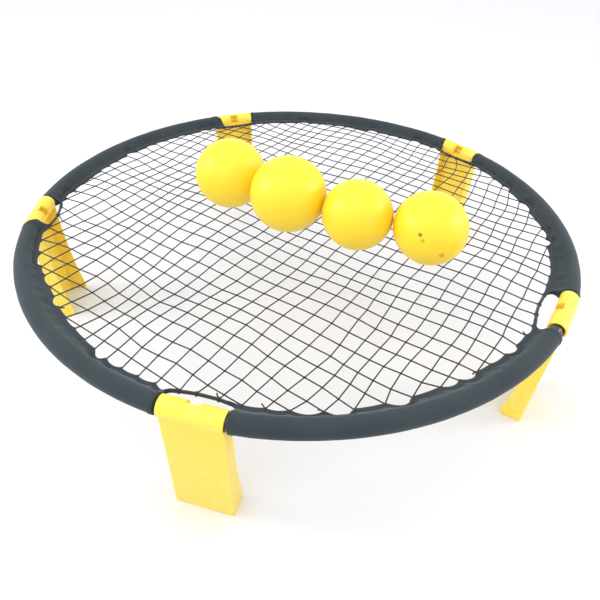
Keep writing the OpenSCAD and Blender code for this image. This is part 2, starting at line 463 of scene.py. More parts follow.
@cache
def colour_drift_group():
    """Cloudy change between two colours over the surface, with a finer speckle in it."""
    shader, given, result = shader_group(
        "colour_drift",
        [("First", "NodeSocketColor", (1, 1, 1, 1)), ("Second", "NodeSocketColor", (0, 0, 0, 1)),
         ("Cloud scale", "NodeSocketFloat", 20.0), ("Speckle scale", "NodeSocketFloat", 400.0)],
        [("Colour", "NodeSocketColor"), ("Mask", "NodeSocketFloat")])
    cloud = shader.ramp(shader.noise(given["Vector"], given["Cloud scale"], 4.0, 0.55), 0.3, 0.72, 0.0, 0.75)
    speckle = shader.ramp(shader.noise(given["Vector"], given["Speckle scale"], 2.0), 0.35, 0.75, 0.0, 0.25)
    mask = shader.maths("ADD", cloud, speckle)
    shader.set(result["Colour"], shader.blend(mask, given["First"], given["Second"]))
    shader.set(result["Mask"], mask)
    return shader.tree


@cache
def grain_group():
    """Fine pebbled grain of moulded plastic and rubber, with sparse scratches."""
    shader, given, result = shader_group(
        "fine_grain",
        [("Grain scale", "NodeSocketFloat", 1800.0), ("Scratches", "NodeSocketFloat", 0.3)],
        [("Height", "NodeSocketFloat"), ("Scratch", "NodeSocketFloat")])
    grain = shader.noise(given["Vector"], given["Grain scale"], 2.0)
    lane = shader.add(
        "ShaderNodeMapping", Vector=given["Vector"], Rotation=(0.4, 0.9, 0.3), Scale=(9.0, 160.0, 40.0))
    streak = shader.ramp(shader.noise(lane.outputs[0], 6.0, 5.0, 0.7), 0.62, 0.7)
    scratch = shader.maths("MULTIPLY", streak, given["Scratches"])
    shader.set(result["Height"], shader.maths("SUBTRACT", grain, scratch))
    shader.set(result["Scratch"], scratch)
    return shader.tree


@cache
def weave_group():
    """Plain weave from a pair of coordinates along the cloth, with slubs where a thread is thicker."""
    shader, given, result = shader_group(
        "plain_weave",
        [("Threads per metre", "NodeSocketFloat", 1250.0)],
        [("Height", "NodeSocketFloat"), ("Gap", "NodeSocketFloat")])
    parts = shader.add("ShaderNodeSeparateXYZ", Vector=given["Vector"]).outputs
    turns = shader.maths("MULTIPLY", given["Threads per metre"], math.pi)
    across, along = (shader.maths("SINE", shader.maths("MULTIPLY", parts[n], turns)) for n in (0, 1))
    threads = shader.maths("MULTIPLY", across, along)
    wide = shader.add("ShaderNodeMapping", Vector=given["Vector"], Scale=(40.0, 900.0, 1.0))
    slub = shader.noise(wide.outputs[0], 1.0, 3.0)
    shader.set(result["Height"], shader.maths("ADD", shader.scaled(threads, 0.5), shader.scaled(slub, 0.6)))
    shader.set(result["Gap"], shader.ramp(shader.maths("ABSOLUTE", threads), 0.0, 0.35, 1.0, 0.0))
    return shader.tree


# ---------------------------------------------------------------- materials


SCUFF_AND_SHADE_BROWN = (0.50, 0.19, 0.015, 1.0)


class Material(Shader):
    """A material and its Principled BSDF. Values that are the same all over go on its own sockets."""

    def __init__(self, name, **values):
        self.material = bpy.data.materials.new(name)
        self.material.use_nodes = True
        super().__init__(self.material.node_tree)
        self.surface = self.tree.nodes["Principled BSDF"].inputs
        for key, value in values.items():
            self.surface[key.replace("_", " ")].default_value = value
        place = self.add("ShaderNodeTexCoord").outputs
        self.spot, self.cloth = place["Object"], place["UV"]

    def drift(self, first, second, cloud, speckle):
        return self.effect(
            colour_drift_group, Vector=self.spot, First=first, Second=second,
            Cloud_scale=cloud, Speckle_scale=speckle)

    def grain(self, scale, scratches):
        return self.effect(grain_group, Vector=self.spot, Grain_scale=scale, Scratches=scratches)

    def marked(self, name):
        """The numbers that mark() wrote on the mesh."""
        return self.add("ShaderNodeAttribute", {"attribute_name": name}).outputs["Fac"]

    def finish(self, colour, rough=None, bump=None):
        """Leads a colour, a roughness (mask, spread, least) and a bump (height, strength, depth) to the surface."""
        self.set(self.surface["Base Color"], colour)
        if rough:
            self.set(self.surface["Roughness"], self.scaled(*rough))
        if bump:
            height, strength, depth = bump
            node = self.add("ShaderNodeBump", Strength=strength, Distance=depth, Height=height)
            self.set(self.surface["Normal"], node.outputs[0])
        return self.material


def rgba(colour, gain=1.0):
    return tuple(min(c * gain, 1.0) for c in colour) + (1.0,)


def tube_plastic():
    """Gloss black plastic with a faint cloud and fine scratches."""
    paint = Material("gloss_black_tube", Coat_Weight=0.25, Coat_Roughness=0.12)
    drift = paint.drift((0.012, 0.013, 0.015, 1), (0.022, 0.025, 0.03, 1), 30.0, 900.0)
    grain = paint.grain(1500.0, 0.6)
    return paint.finish(drift["Colour"], (drift["Mask"], 0.12, 0.24), (grain["Height"], 0.15, 0.0001))


def leg_plastic(colour):
    """Yellow moulded plastic with dust in its scratches, paler along the upright edges and foot as wear and as a
    painted highlight, and darker in the finger groove as painted shade.
    """
    paint = Material(
        "moulded_yellow_plastic", Subsurface_Weight=0.06, Subsurface_Scale=0.004,
        Subsurface_Radius=(1.0, 0.7, 0.1))
    red, green, blue = colour
    drift = paint.drift(rgba(colour), rgba((red * 0.98, green * 0.965, blue * 0.9)), 14.0, 260.0)
    grain = paint.grain(1100.0, 0.35)
    patchy = paint.ramp(paint.noise(paint.spot, 120.0, 3.0), 0.35, 0.6)
    # Paler edges and foot: partly wear, partly a painted highlight where light catches the rim.
    rubbed = paint.maths("MULTIPLY", paint.marked("rubbed"), paint.scaled(patchy, 0.6, 0.4))
    worn_and_lit = paint.blend(paint.scaled(rubbed, 0.35), drift["Colour"], rgba((1.0, green * 1.3, 0.22)))
    dusty = paint.blend(paint.scaled(grain["Scratch"], 0.3), worn_and_lit, rgba((0.8, 0.6, 0.2)))
    # Painted shade: the finger groove darkened brown, where shade falls into it.
    look = paint.blend(paint.scaled(paint.marked("deep"), 0.62), dusty, rgba((0.52, 0.24, 0.025)))
    return paint.finish(look, (drift["Mask"], 0.1, 0.34), (grain["Height"], 0.25, 0.00012))


def cover_fabric(colour):
    """Dark padded fabric: a fine weave with a soft sheen, darker between its threads, with painted shade at its seams
    and at a panel's ends.
    """
    paint = Material(
        "padded_cover_fabric", Roughness=0.82, Sheen_Weight=0.2, Sheen_Roughness=0.4,
        Sheen_Tint=(0.72, 0.82, 0.95, 1.0), Specular_IOR_Level=0.3)
    weave = paint.effect(weave_group, Vector=paint.cloth, Threads_per_metre=1250.0)
    drift = paint.drift(rgba(colour), rgba(colour, 1.28), 16.0, 700.0)
    gaps = paint.blend(paint.scaled(weave["Gap"], 0.45), drift["Colour"], rgba(colour, 0.45))
    # Painted shade: darker at the seams and at a panel's ends.
    look = paint.blend(paint.scaled(paint.marked("crease"), 0.5), gaps, rgba(colour, 0.4))
    return paint.finish(look, bump=(weave["Height"], 0.5, 0.0003))


def thread_material(name, colour, twist):
    """Twisted thread or string: fibres as a fine grain over a dark colour."""
    paint = Material(name, Roughness=0.62, Sheen_Weight=0.15, Sheen_Roughness=0.5, Specular_IOR_Level=0.35)
    drift = paint.drift(rgba(colour), rgba(colour, 1.9), 60.0, 1500.0)
    return paint.finish(drift["Colour"], bump=(paint.noise(paint.spot, twist, 2.0), 0.6, 0.0003))


def cord_material(colour):
    """Woven binding cord, with slanting strands that follow the cord's own coordinates."""
    paint = Material("woven_border_cord", Roughness=0.7, Sheen_Weight=0.25, Sheen_Roughness=0.5)
    parts = paint.add("ShaderNodeSeparateXYZ", Vector=paint.cloth).outputs
    along = paint.scaled(parts[0], 2400.0)
    around = paint.scaled(parts[1], 3 * 2 * math.pi)
    right, left = (paint.maths("SINE", paint.maths(way, along, around)) for way in ("ADD", "SUBTRACT"))
    strands = paint.maths("MAXIMUM", right, left)
    drift = paint.drift(rgba(colour), rgba(colour, 1.7), 40.0, 1100.0)
    look = paint.blend(paint.ramp(strands, -0.4, 0.6, 0.7, 0.0), drift["Colour"], rgba(colour, 0.3))
    return paint.finish(look, bump=(strands, 0.8, 0.0004))


def ball_rubber(name, colour, scuffs_and_shade):
    """Matt rubber with a fine grain, a faint cloud in its colour and small brown marks at given places: scuffs, and on
    ball 3 painted shade.
    """
    paint = Material(name, Subsurface_Weight=0.12, Subsurface_Scale=0.006, Subsurface_Radius=(1.0, 0.55, 0.05))
    red, green, blue = colour
    drift = paint.drift(rgba(colour), rgba((red, green * 0.97, blue)), 18.0, 320.0)
    grain = paint.grain(900.0, 0.12)
    look = drift["Colour"]
    ragged = paint.maths("SUBTRACT", paint.noise(paint.spot, 450.0, 3.0), 0.5)
    for centre, radius, depth in scuffs_and_shade:
        away = paint.add("ShaderNodeVectorMath", {"operation": "DISTANCE"})
        paint.set(away.inputs[0], paint.spot)
        away.inputs[1].default_value = centre
        edge = paint.maths("ADD", away.outputs["Value"], paint.scaled(ragged, radius * 1.6))
        look = paint.blend(paint.ramp(edge, radius * 0.3, radius, depth, 0.0), look, SCUFF_AND_SHADE_BROWN)
    return paint.finish(look, (drift["Mask"], 0.08, 0.37), (grain["Height"], 0.2, 0.00015))


def valve_rubber():
    """Brown rubber, rougher than the ball's."""
    paint = Material("brown_valve_rubber")
    drift = paint.drift((0.50, 0.24, 0.03, 1), (0.30, 0.13, 0.02, 1), 300.0, 2500.0)
    grain = paint.grain(3000.0, 0.0)
    return paint.finish(drift["Colour"], (drift["Mask"], 0.1, 0.55), (grain["Height"], 0.3, 0.0001))


def floor_finish(colour):
    """Plain pale floor with a hardly visible drift."""
    paint = Material("plain_pale_floor", Roughness=0.9, Specular_IOR_Level=0.1)
    return paint.finish(paint.drift(rgba(colour), rgba(colour, 0.985), 2.0, 60.0)["Colour"])


# ---------------------------------------------------------------- the net: where it is tied and how it hangs


# How far the net lets the hem out or pulls it in, in millimetres, at angles from +X in degrees
HEM_SWAY = [
    (-178, 1), (-170, -5), (-156, -3), (-142, 1), (-122, -2), (-104, 1), (-86, -3), (-66, 0), (-47, -7),
    (-39, -2), (-31, -2), (-24, 4), (-12, -1), (-4, 1), (5, 4), (18, 1), (30, 2), (46, -2), (62, 1),
    (80, 2), (98, 0), (118, 1), (138, -1), (152, 3), (162, 0), (170, 5),
]
MOST_LET_OUT = 7.5 * MM
KNOT_MARGIN = 0.0145  # least distance from a knot to the cord
LEAST_TIE_GAP = 0.0155
TIE_SCATTER = 0.0011  # how unevenly the ties sit along the hem
CORD_STEPS = 2160
TAIL_SHARE = 0.16  # share of the ties that have a short cut end of string
TAIL_PIECES = 4
FOUR_WAYS = ((1, 0), (-1, 0), (0, 1), (0, -1))


class NetPlan:
    """Ties on the hem, the line of the border cord, and the net's knots after it is pulled tight."""

    def __init__(self, settings):
        self.size = settings.mesh_size
        self.angle = settings.string_angle
        self.rng = np.random.default_rng(settings.seed)
        self.uneven = settings.unevenness
        self.depth = settings.scallop_depth
        self.opening_bow = settings.opening_bow
        self.bead = CORD_R + 0.6 * MM
        self.half_opening = abs(turn_between(PANELS[0][0], LEG_ANGLE[0]))
        self.cross_grid()
        self.pair_ends(settings.pair_gap)
        self.lay_cord()
        self.pull_tight()

    def cross_grid(self):
        """Knots of the flat net that lie well inside the hem, and the strings that leave them for the hem."""
        self.first = Vector((math.cos(self.angle), math.sin(self.angle)))
        self.second = Vector((-self.first.y, self.first.x))
        count = int(CORD_RING_R / self.size) + 2
        limit = CORD_RING_R - KNOT_MARGIN
        self.knots = {}
        for i in range(-count, count + 1):
            for j in range(-count, count + 1):
                spot = self.size * ((i + 0.37) * self.first + (j + 0.21) * self.second)
                if spot.length < limit:
                    self.knots[i, j] = spot
        self.ends = []
        for (i, j), spot in self.knots.items():
            for step in FOUR_WAYS:
                if (i + step[0], j + step[1]) in self.knots:
                    continue
                way = step[0] * self.first + step[1] * self.second
                across = spot.dot(way)
                reach = -across + math.sqrt(across**2 - spot.length_squared + CORD_RING_R**2)
                hit = spot + reach * way
                self.ends.append([math.atan2(hit.y, hit.x), (i, j), step])

    def pair_ends(self, gap):
        """Strings that reach the hem close together share a tie."""
        self.ends.sort(key=lambda end: end[0])
        self.ties, self.tie_of = [], {}
        index = 0
        while index < len(self.ends):
            angle = self.ends[index][0]
            group = [index]
            if index + 1 < len(self.ends) and (self.ends[index + 1][0] - angle) * CORD_RING_R < gap:
                group.append(index + 1)
            for member in group:
                self.tie_of[self.ends[member][1], self.ends[member][2]] = len(self.ties)
            self.ties.append(float(np.mean([self.ends[member][0] for member in group])))
            index += len(group)
        ties = np.array(self.ties)
        least = LEAST_TIE_GAP / CORD_RING_R
        for _ in range(60):
            after = np.roll(ties, -1)
            after[-1] += 2 * math.pi
            short = np.clip(least - (after - ties), 0, None) / 2
            ties = ties - short + np.roll(short, 1)
        self.ties = ties + self.rng.normal(0, TIE_SCATTER / CORD_RING_R, len(ties))
        self.bow = 0.12 + 1.75 * self.rng.uniform(0, 1, len(ties)) ** 2.1

    def in_opening(self, angle):
        """Whether an angle lies in a leg's opening, where the cord is bare."""
        return min(abs(turn_between(angle, leg)) for leg in LEG_ANGLE) < self.half_opening

    def lay_cord(self):
        """Radius of the cord's middle at each of many angles: bowed out between ties, straight at the legs."""
        self.turns = np.linspace(-math.pi, math.pi, CORD_STEPS, endpoint=False)
        radius = np.full(CORD_STEPS, CORD_RING_R)
        ties = np.concatenate([[self.ties[-1] - 2 * math.pi], self.ties, [self.ties[0] + 2 * math.pi]])
        bows = np.concatenate([[self.bow[-1]], self.bow])
        slot = np.searchsorted(ties, self.turns, side="right") - 1
        width = ties[slot + 1] - ties[slot]
        share = (self.turns - ties[slot]) / width
        depth = np.minimum(self.depth, 0.17 * width * CORD_RING_R) * bows[slot]
        lean = share ** (1 + 0.35 * (bows[slot] - 0.7))
        bulge = depth * (4 * lean * (1 - lean)) ** 0.8
        half = self.half_opening
        for leg in LEG_ANGLE:
            off = np.abs(turn_between(self.turns, leg))
            bridge = off[off < half]
            pulled = self.opening_bow * np.cos(bridge / half * math.pi / 2)
            radius[off < half] = CORD_RING_R * math.cos(half) / np.cos(bridge) - pulled
            bulge *= np.clip((off - half) / 0.02, 0.1, 1.0)
        at, moved = np.array(HEM_SWAY, dtype=float).T
        sway = np.interp(self.turns, np.radians(at), MM * moved, period=2 * math.pi)
        window = np.hanning(31) / np.hanning(31).sum()
        sway = np.convolve(np.concatenate([sway[-15:], sway, sway[:15]]), window, mode="valid")
        radius = radius + np.minimum(bulge + sway, MOST_LET_OUT)
        kernel = np.array([1, 2, 1]) / 4.0
        self.radius = np.convolve(np.concatenate([radius[-2:], radius, radius[:2]]), kernel, mode="same")[2:-2]

    def cord_radius(self, angle):
        return float(np.interp(turn_between(angle, 0.0), self.turns, self.radius, period=2 * math.pi))

    def tie_point(self, number):
        """Place of a tie, at the inner side of the hem's edge or of the bare cord."""
        angle = self.ties[number]
        inner = self.cord_radius(angle) - (CORD_R if self.in_opening(angle) else self.bead) + 0.0006
        return np.array([inner * math.cos(angle), inner * math.sin(angle)])

    @staticmethod
    def swell(place, family):
        """How much tighter or looser a string is at a place: broad changes with finer ones on them."""
        broad, fine = (noise.noise(Vector((place.x * scale, place.y * scale, family))) for scale in (9, 34))
        return broad + 0.6 * fine

    def pull_tight(self):
        """Balances the pull of the strings at each knot, with uneven strings, to find where the knots lie."""
        keys = list(self.knots)
        row = {key: n for n, key in enumerate(keys)}
        pull = np.zeros((len(keys), len(keys)))
        hold = np.zeros((len(keys), 2))
        self.tie_points = [self.tie_point(n) for n in range(len(self.ties))]
        for n, (i, j) in enumerate(keys):
            for step in FOUR_WAYS:
                other = (i + step[0], j + step[1])
                middle = self.knots[i, j] + (step[0] * self.first + step[1] * self.second) * self.size / 2
                swell = self.swell(middle, 5.3 if step[0] else 1.7)
                force = math.exp(self.uneven * swell * (0.8 + 0.6 * (middle.length / CORD_RING_R) ** 3))
                if other in row:
                    pull[n, row[other]] -= force
                    pull[n, n] += force
                else:
                    place = self.tie_points[self.tie_of[(i, j), step]]
                    length = max((Vector(place) - self.knots[i, j]).length, 0.008)
                    force *= self.size / length
                    pull[n, n] += force
                    hold[n] += force * place
        flat = np.linalg.solve(pull, hold)
        self.spot = {key: flat[n] for n, key in enumerate(keys)}

    def height(self, x, y):
        """The net dips a little under each ball."""
        dip = sum(0.0009 * math.exp(-((x - c.x) ** 2 + (y - c.y) ** 2) / 0.035**2) for c, _ in BALLS)
        return HEM_Z - dip

    def strings(self):
        """Points and edges of every string, from tie to tie, and where the knots are with their turn."""
        lines = []
        for step, lift in (((1, 0), -0.00025), ((0, 1), 0.00025)):
            back = (-step[0], -step[1])
            for i, j in self.knots:
                if (i + back[0], j + back[1]) in self.knots:
                    continue
                chain = [self.tie_points[self.tie_of[(i, j), back]]]
                here, after = None, (i, j)
                while after in self.knots:
                    here, after = after, (after[0] + step[0], after[1] + step[1])
                    chain.append(self.spot[here])
                chain.append(self.tie_points[self.tie_of[here, step]])
                lines.append([(x, y, self.height(x, y) + lift) for x, y in chain])
        for number, angle in enumerate(self.ties):
            if self.rng.uniform() < TAIL_SHARE:
                lines.append(self.tail(self.tie_points[number], angle))
        knots, turns = [], []
        for i, j in self.knots:
            x, y = self.spot[i, j]
            after = self.spot.get((i + 1, j), self.spot.get((i - 1, j)))
            way = np.array(after) - self.spot[i, j] if after is not None else np.array([1.0, 0.0])
            knots.append((x, y, self.height(x, y)))
            turns.append(math.atan2(way[1], way[0]))
        return chained(lines) + (knots, turns)

    def tail(self, start, angle):
        """Points of a short cut end of string that sticks out of a tie."""
        piece = self.rng.uniform(4.5, 8) * MM / TAIL_PIECES
        lean = self.rng.choice([-1, 1]) * self.rng.uniform(0.5, 1.2)
        curl = self.rng.uniform(-0.5, 0.5)
        rise = self.rng.uniform(-0.3, 0.5) * piece
        x, y, z = start[0], start[1], HEM_Z
        line = [(x, y, z)]
        for n in range(TAIL_PIECES):
            way = angle + math.pi + lean + curl * n
            x, y, z = x + piece * math.cos(way), y + piece * math.sin(way), z + rise
            line.append((x, y, z))
        return line


def net_plan():
    return NetPlan(bpy.context.scene.roundnet_net)


def small_shape(name, points, faces):
    """A small closed shape that a tree sets many times over."""
    mesh = mesh_of(name, points, faces)
    face_outwards(mesh)
    smooth(mesh)
    return put(name, mesh)


def knot_shape(radius):
    """A small knot of few faces, with a lobe along each of the four strings that leave it."""
    rings, sides, points = 4, 8, []
    for n in range(1, rings + 1):
        polar = math.pi * n / (rings + 1)
        for m, (x, y) in enumerate(circle(sides)):
            reach = radius * (0.82 if m % 2 else 1.12) * math.sin(polar)
            points.append((reach * x, reach * y, radius * 0.78 * math.cos(polar)))
    top, bottom, last = len(points), len(points) + 1, (rings - 1) * sides
    points += [(0, 0, radius * 0.78), (0, 0, -radius * 0.78)]
    faces = ring_faces(rings, sides, flip=True)
    for m in range(sides):
        after = (m + 1) % sides
        faces += [(top, m, after), (bottom, last + after, last + m)]
    return small_shape("knot_shape", points, faces)


def loop_shape(major, minor):
    """A turn of string round the hem's edge: a small ring whose hole runs along Y."""
    around, across, points = 12, 5, []
    for x, z in circle(around):
        for out, along in circle(across):
            reach = major + minor * out
            points.append((reach * x, minor * 1.5 * along, reach * z))
    return small_shape("tie_shape", points, ring_faces(around, across, closed=True))


def stitch_shape(length, radius):
    """One stitch lying along X, pulled down at both ends."""
    sides, points = 6, []
    outline = ((-0.5, 0.35), (-0.36, 0.85), (0.0, 1.0), (0.36, 0.85), (0.5, 0.35))
    for share, size in outline:
        points += [(share * length, radius * size * y, radius * size * z) for y, z in circle(sides)]
    ends = [tuple(range(sides)), tuple(range(len(points) - sides, len(points)))]
    return small_shape("stitch_shape", points, ring_faces(len(outline), sides) + ends)


def point_cloud(name, points, turns):
    """Loose points that carry the angle each shape on them is turned by."""
    mesh = mesh_of(name, points)
    mark(mesh, "turn", turns)
    return put(name, mesh)


# ---------------------------------------------------------------- cover panels


END_ZONE = 12 * MM  # where the cross sections stand close together
LAP_FADE = 7 * MM  # how soon the fabric lies straight again, away from a lap and from a corner
CORNER_FADE = 9 * MM
# How much of the lap each panel's first end has, where the fabric lies askew over a socket
LAP_SHARE = {1: 1.0, 2: 0.95, 5: 0.4}


def ease(value):
    """A smooth step from 0 to 1."""
    value = min(max(value, 0.0), 1.0)
    return value * value * (3 - 2 * value)


def bend(start, handle, end, shares):
    """Points on a curve that leaves its start towards the handle, without its two ends."""
    return [
        tuple((1 - t) ** 2 * a + 2 * t * (1 - t) * h + t * t * b for a, h, b in zip(start, handle, end))
        for t in shares]


class PanelShape:
    """One cover panel: a padded tunnel round the tube that runs out into a seam and the cord's casing."""

    def __init__(self, k, plan, settings):
        self.k = k
        self.plan = plan
        self.settings = settings
        self.start, self.end = PANELS[k - 1]
        self.slid = settings.slid_back if k == 3 else 0.0
        self.end -= self.slid / RING_R
        self.lap = settings.lap * LAP_SHARE.get(k, 0.0)
        self.turns = np.radians(np.linspace(-118.0, 140.0, 38))
        self.inner_turns = np.radians(np.linspace(140.0, 242.0, 8)[1:-1])
        self.skin_shares = np.linspace(0, 1, 8)[1:-1]
        self.casing_shares = np.linspace(0, 1, 4)[1:-1]
        self.bead_turns = np.radians(np.linspace(62.0, 298.0, 11))
        self.set_stations()

    def set_stations(self):
        """Distances along the rim of the cross sections: close at the ends and at each tie."""
        length = (self.end - self.start) * RING_R
        near = [d * MM for d in (0.0, 0.3, 0.7, 1.2, 1.8, 2.6, 3.5, 4.6, 6.0, 7.2, 8.2, 9.2, 10.6)]
        places = near + [length - d for d in near]
        places += list(np.arange(END_ZONE, length - END_ZONE, self.settings.station_step))
        for tie in self.plan.ties:
            place = turn_between(tie, self.start) * RING_R
            if END_ZONE < place < length - END_ZONE:
                places += [place - 0.9 * MM, place, place + 0.9 * MM]
        kept = []
        for place in sorted(places):
            if not kept or place - kept[-1] > 0.25 * MM:
                kept.append(place)
        self.places, self.length = kept, length

    def hem_shift(self, place, share):
        """How far a point of the hem lies beyond its cross section, towards the nearer leg."""
        near = min(place, self.length - place)
        side = 1.0 if place > self.length / 2 else -1.0
        corner = self.settings.corner
        if side < 0 and self.lap:
            reach = (self.lap + 0.3 * corner * share) * math.exp(-near / LAP_FADE)
        else:
            slant = self.slid * share if side > 0 else 0.0
            hollow = 0.36 * corner * math.sin(math.pi * share)
            reach = (slant + corner * share**3 - hollow) * math.exp(-near / CORNER_FADE)
        return side * reach

    def section(self, place):
        """Outer loop and tunnel of one cross section, each point as radius, height and shift along the rim."""
        near = min(place, self.length - place)
        first_end = place < self.length / 2
        lip = max(0.0, 1 - near / (1.4 * MM))
        swell = 0.4 * MM * ease((self.settings.cuff - near) / (1.5 * MM))
        hem_angle = self.start + (place + self.hem_shift(place, 1.0)) / RING_R
        tie_gap = np.min(np.abs(turn_between(np.asarray(self.plan.ties), hem_angle))) * CORD_RING_R
        phase = math.cos(min(tie_gap / (13 * MM), 1.0) * math.pi)
        pinch = math.exp(-((tie_gap / (1.1 * MM)) ** 2))
        puckers = self.settings.puckers

        bare_r = TUBE_R + 0.4 * MM
        outer, tunnel = [], []
        for turn in self.turns:
            askew = ease((math.degrees(turn) - 52) / 96) if first_end else 0.0
            shift = -self.lap * askew * math.exp(-near / LAP_FADE)
            climb = ease((-shift - place + 0.5 * MM) / (2.2 * MM)) if self.lap and first_end else 0.0
            across, up = math.cos(turn), math.sin(turn)
            lump = noise.noise(Vector((place * 26 + self.k * 9.1, across * 0.9, up * 0.9)))
            fine = noise.noise(Vector((place * 90 + turn * 1.4 + self.k * 3.3, across * 1.6, up * 1.6)))
            toward_hem = sum(math.exp(-(((turn - edge) / 0.5) ** 2)) for edge in (self.turns[-1], self.turns[0]))
            folds = puckers * toward_hem * (0.15 * phase + 0.5 * fine)
            radius = COVER_R + swell + 0.4 * MM * lump + 0.12 * MM * fine + folds - 0.9 * MM * lip**2 + 1.3 * MM * climb
            outer.append((radius * across, radius * up, shift))
            inner = bare_r + 3.3 * MM * climb
            tunnel.append((inner * across, inner * up, shift))
        rise, shift = inner - bare_r, tunnel[-1][2]
        for turn, share in zip(self.inner_turns, np.linspace(1, 0, len(self.inner_turns))):
            inner = bare_r + rise * share
            tunnel.append((inner * math.cos(turn), inner * math.sin(turn), shift * share))

        bead_x = self.plan.cord_radius(hem_angle) - RING_R
        drop = HEM_Z - RIM_Z
        bead_r = self.plan.bead - 0.35 * MM * pinch - 0.35 * MM * lip
        bead = [(bead_x + bead_r * math.cos(t), drop + bead_r * math.sin(t)) for t in self.bead_turns]
        seam_x = bead_x + self.settings.casing
        seam_top, seam_low = (seam_x, drop + bead_r - 0.35 * MM), (seam_x, drop - bead_r + 0.35 * MM)

        def skin(edge, seam, way, shares):
            span = math.dist(edge[:2], seam)
            handle = (edge[0] + way[0] * 0.45 * span, edge[1] + way[1] * 0.45 * span)
            return bend(edge[:2], handle, seam, shares)

        last, low = self.turns[-1], self.turns[0]
        top_skin = skin(outer[-1], seam_top, (-math.sin(last), math.cos(last)), self.skin_shares)
        low_skin = skin(outer[0], seam_low, (math.sin(low), -math.cos(low)), self.skin_shares)
        casing_top = bend(seam_top, ((seam_x + bead[0][0]) / 2, bead[0][1] + 0.2 * MM), bead[0], self.casing_shares)
        casing_low = bend(seam_low, ((seam_x + bead[-1][0]) / 2, bead[-1][1] - 0.2 * MM), bead[-1], self.casing_shares)

        reach = max(-COVER_R - bead_x, 1 * MM)
        loop = list(outer)

        def lay(points, puckered):
            for n, (x, z) in enumerate(points):
                share = min(max((-COVER_R - x) / reach, 0.0), 1.0)
                shift = self.hem_shift(place, share)
                lift = 0.0
                if puckered:
                    along = self.skin_shares[n] if puckered > 0 else self.skin_shares[-1 - n]
                    wave = noise.noise(Vector((place * 44 + self.k * 5.7, along * 1.1, 4.0)))
                    lift = puckers * math.sin(math.pi * along) * (0.45 * phase + 1.3 * wave)
                    if first_end and self.lap:
                        edge = outer[-1][2] if puckered > 0 else 0.0
                        shift = edge + (shift - edge) * ease(along)
                    else:
                        shift *= ease(along * 1.5)
                loop.append((x, z + lift, shift))

        lay(top_skin, 1)
        lay([seam_top], 0)
        lay(casing_top, 0)
        lay(bead, 0)
        lay(casing_low[::-1], 0)
        lay([seam_low], 0)
        lay(low_skin[::-1], -1)
        return loop, tunnel

    def point(self, place, at):
        angle = self.start + (place + at[2]) / RING_R
        radius = RING_R + at[0]
        return (radius * math.cos(angle), radius * math.sin(angle), RIM_Z + at[1])

    def mesh(self):
        sections = [self.section(place) for place in self.places]
        points = [self.point(place, at) for place, (outer, _) in zip(self.places, sections) for at in outer]
        points += [self.point(place, at) for place, (_, tunnel) in zip(self.places, sections) for at in tunnel]
        rows, around, inside = len(sections), len(sections[0][0]), len(sections[0][1])
        uv = []
        for place, (outer, _) in zip(self.places, sections):
            run = 0.0
            for before, at in zip(outer[:1] + outer, outer):
                run += math.hypot(at[0] - before[0], at[1] - before[1])
                uv.append((place + at[2], run))
        uv += [(place, n * 0.0014) for place in self.places for n in range(inside)]
        base = rows * around
        faces = ring_faces(rows, around) + ring_faces(rows, inside, base, flip=True)
        faces += self.cap(0, base, around, inside)
        faces += [face[::-1] for face in self.cap(base - around, base + (rows - 1) * inside, around, inside)]
        mesh = mesh_of(f"fabric_cover_{self.k}", points, faces)
        face_outwards(mesh)
        smooth(mesh, 50)
        set_uv(mesh, uv)
        mark(mesh, "crease", self.fold_shade_values(around) + [0.0] * (rows * inside))
        return mesh

    def cap(self, o, t, around, inside):
        """Faces across a panel's end, from the outer ring that starts at point o to the tunnel's at point t."""
        arc = len(self.turns)
        flat = len(self.skin_shares) + 1 + len(self.casing_shares)
        faces = [(o + j, t + j, t + j + 1, o + j + 1) for j in range(arc - 1)]
        tops = [o + arc - 1 + n for n in range(flat + 1)]
        lows = [o] + [o + around - 1 - n for n in range(flat)]
        faces.append(tuple([tops[0]] + [t + n for n in range(arc - 1, inside)] + [t, lows[0]]))
        faces += [(tops[n], lows[n], lows[n + 1], tops[n + 1]) for n in range(flat)]
        bead = [o + arc + flat + n for n in range(len(self.bead_turns))]
        faces.append(tuple([tops[-1], lows[-1]] + bead[::-1]))
        return faces

    def fold_shade_values(self, around):
        """Painted shade at each outer point: half at the seams and full at a panel's ends, where shade falls."""
        seams = (len(self.turns) + len(self.skin_shares), around - 1 - len(self.skin_shares))
        values = []
        for place in self.places:
            at_end = min(place, self.length - place) < 1.3 * MM
            values += [1.0 if at_end else 0.5 if n in seams else 0.0 for n in range(around)]
        return values

    def seams(self):
        """Lines that the stitches run on: along the casing above and below, and round each cuff."""
        lines = []
        first, last = 9 * MM, self.length - 9 * MM
        top = len(self.turns) + len(self.skin_shares)
        low = top + 1 + 2 * len(self.casing_shares) + len(self.bead_turns)
        inner = [(place, self.section(place)[0]) for place in self.places if first < place < last]
        for pick, lift in ((top, 0.1 * MM), (low, -0.1 * MM)):
            picked = [(place, outer[pick]) for place, outer in inner]
            lines.append([self.point(place, (x, z + lift, s)) for place, (x, z, s) in picked])
        for place in (self.settings.cuff * 0.62, self.length - self.settings.cuff * 0.62):
            outer = self.section(place)[0][: len(self.turns)]
            lines.append([self.point(place, (x * 1.008, z * 1.008, s)) for x, z, s in outer])
        return chained(lines)


# ---------------------------------------------------------------- legs and balls


